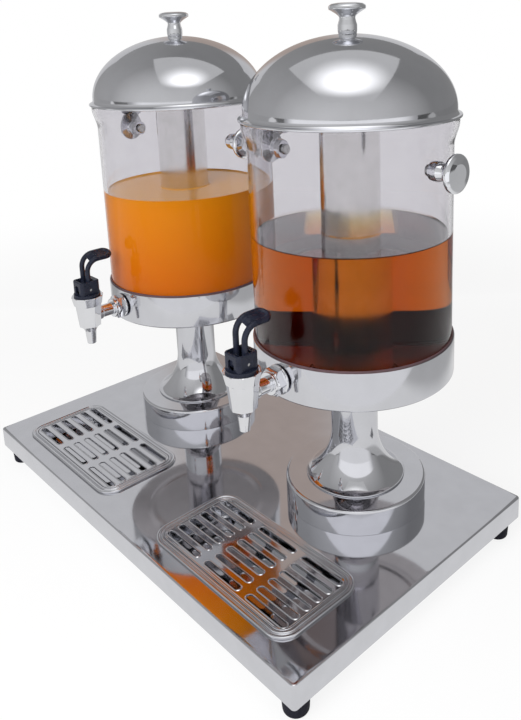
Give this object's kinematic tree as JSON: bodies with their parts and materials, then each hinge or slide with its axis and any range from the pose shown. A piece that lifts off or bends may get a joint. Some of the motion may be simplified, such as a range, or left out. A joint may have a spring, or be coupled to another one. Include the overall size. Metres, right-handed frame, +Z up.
{
  "type": "juice dispenser",
  "caption": "Juice dispenser with clear round containers, domed lids and ice tubes on trumpet pedestals over a polished base, with lever taps and slotted drip trays.",
  "frame": {"origin": "on the table, under the middle of the base", "axes": "+Z up, taps and drip trays face -Y, +X to the right unit as seen from the front"},
  "size_m": [0.548, 0.328, 0.5559],
  "materials": {
    "mirror_steel": "mirror polished stainless steel",
    "satin_steel": "satin stainless steel",
    "chrome": "bright chrome",
    "black_plastic": "black moulded plastic with a soft sheen",
    "black_rubber": "black rubber",
    "clear_plastic": "clear moulded plastic"
  },
  "bodies": {
    "base": {"base_pan": "mirror_steel", "rubber_feet": "black_rubber", "foot_screws": "satin_steel", "left_drum": "mirror_steel", "left_bell": "mirror_steel", "left_cup": "mirror_steel", "left_gasket": "black_rubber", "left_container": "clear_plastic", "left_tie_bolt": "satin_steel", "left_bolt_seal": "black_rubber", "left_tie_nut": "satin_steel", "left_outer_handle": "chrome", "left_inner_handle": "chrome", "left_handle_screws": "satin_steel", "left_tap_body": "chrome", "left_tap_ring_nut": "chrome", "left_tap_bonnet": "black_plastic", "left_tap_lever_pin": "satin_steel", "left_tap_spring": "satin_steel", "left_tap_lock_nut": "chrome", "left_tap_inner_nut": "chrome", "left_tap_gaskets": "black_rubber", "right_drum": "mirror_steel", "right_bell": "mirror_steel", "right_cup": "mirror_steel", "right_gasket": "black_rubber", "right_container": "clear_plastic", "right_tie_bolt": "satin_steel", "right_bolt_seal": "black_rubber", "right_tie_nut": "satin_steel", "right_outer_handle": "chrome", "right_inner_handle": "chrome", "right_handle_screws": "satin_steel", "right_tap_body": "chrome", "right_tap_ring_nut": "chrome", "right_tap_bonnet": "black_plastic", "right_tap_lever_pin": "satin_steel", "right_tap_spring": "satin_steel", "right_tap_lock_nut": "chrome", "right_tap_inner_nut": "chrome", "right_tap_gaskets": "black_rubber"},
    "left_lid": {"left_lid": "mirror_steel", "left_lid_knob": "chrome", "left_lid_knob_screw": "satin_steel"},
    "left_ice_tube": {"left_ice_tube": "satin_steel"},
    "left_tray": {"left_drip_tray": "mirror_steel"},
    "left_grille": {"left_drip_grille": "mirror_steel"},
    "left_lever": {"left_tap_lever": "black_plastic"},
    "left_stem": {"left_tap_stem": "satin_steel", "left_tap_seal": "black_rubber"},
    "right_lid": {"right_lid": "mirror_steel", "right_lid_knob": "chrome", "right_lid_knob_screw": "satin_steel"},
    "right_ice_tube": {"right_ice_tube": "satin_steel"},
    "right_tray": {"right_drip_tray": "mirror_steel"},
    "right_grille": {"right_drip_grille": "mirror_steel"},
    "right_lever": {"right_tap_lever": "black_plastic"},
    "right_stem": {"right_tap_stem": "satin_steel", "right_tap_seal": "black_rubber"}
  },
  "joints": [
    {"name": "left_lid_lift", "type": "slide", "parent": "base", "child": "left_lid", "axis": [0, 0, 1], "range_m": [0, 0.15]},
    {"name": "left_ice_tube_lift", "type": "slide", "parent": "base", "child": "left_ice_tube", "axis": [0, 0, 1], "range_m": [0, 0.06]},
    {"name": "left_tray_lift", "type": "slide", "parent": "base", "child": "left_tray", "axis": [0, 0, 1], "range_m": [0, 0.06]},
    {"name": "left_grille_lift", "type": "slide", "parent": "left_tray", "child": "left_grille", "axis": [0, 0, 1], "range_m": [0, 0.06]},
    {"name": "left_lever_turn", "type": "hinge", "parent": "base", "child": "left_lever", "pos_m": [-0.1415, -0.094, 0.2475], "axis": [1, 0, 0], "range_deg": [0, 30]},
    {"name": "left_stem_press", "type": "slide", "parent": "base", "child": "left_stem", "axis": [0, 0, -1], "range_m": [0, 0.0018], "deforming": ["left_tap_spring"]},
    {"name": "right_lid_lift", "type": "slide", "parent": "base", "child": "right_lid", "axis": [0, 0, 1], "range_m": [0, 0.15]},
    {"name": "right_ice_tube_lift", "type": "slide", "parent": "base", "child": "right_ice_tube", "axis": [0, 0, 1], "range_m": [0, 0.06]},
    {"name": "right_tray_lift", "type": "slide", "parent": "base", "child": "right_tray", "axis": [0, 0, 1], "range_m": [0, 0.06]},
    {"name": "right_grille_lift", "type": "slide", "parent": "right_tray", "child": "right_grille", "axis": [0, 0, 1], "range_m": [0, 0.06]},
    {"name": "right_lever_turn", "type": "hinge", "parent": "base", "child": "right_lever", "pos_m": [0.1415, -0.094, 0.2475], "axis": [1, 0, 0], "range_deg": [0, 30]},
    {"name": "right_stem_press", "type": "slide", "parent": "base", "child": "right_stem", "axis": [0, 0, -1], "range_m": [0, 0.0018], "deforming": ["right_tap_spring"]}
  ],
  "couplings": [
    {"joint": "left_stem_press", "follows": "left_lever_turn", "m_per_rad": 0.003342},
    {"joint": "right_stem_press", "follows": "right_lever_turn", "m_per_rad": 0.003342}
  ]
}
